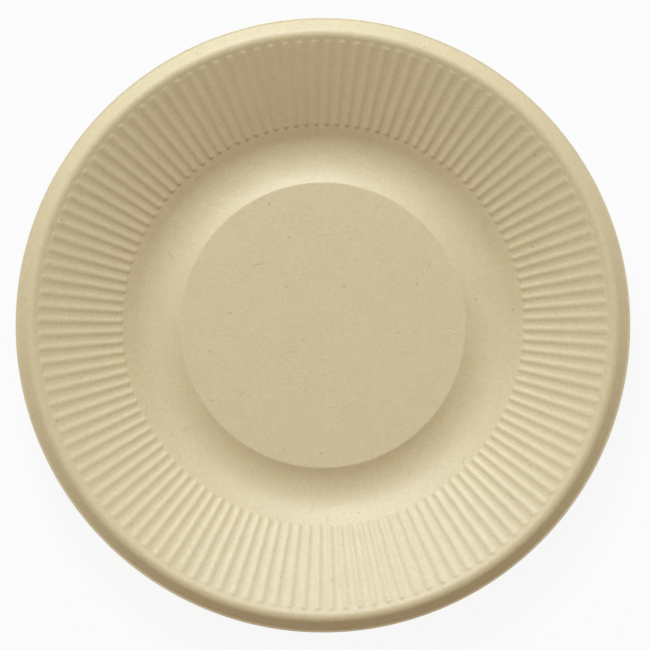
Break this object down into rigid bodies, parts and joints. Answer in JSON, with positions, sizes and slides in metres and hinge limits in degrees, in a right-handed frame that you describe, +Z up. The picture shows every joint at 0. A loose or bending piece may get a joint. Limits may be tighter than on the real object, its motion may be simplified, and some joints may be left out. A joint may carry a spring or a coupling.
{
  "type": "moulded pulp plate",
  "caption": "Round disposable dinner plate pressed in one piece from natural plant fibre, with a raised centre panel, a ribbed sloping rim and a turned-down lip.",
  "frame": {"origin": "centre of the foot ring's plane, on the table under the plate's centre", "axes": "+Z up out of the open side of the plate, along its axis of symmetry; one rib of the rim lies along +X"},
  "size_m": [0.228, 0.228, 0.02],
  "materials": {
    "pulp": "matte"
  },
  "bodies": {
    "root": {"plate": "pulp"}
  },
  "joints": []
}
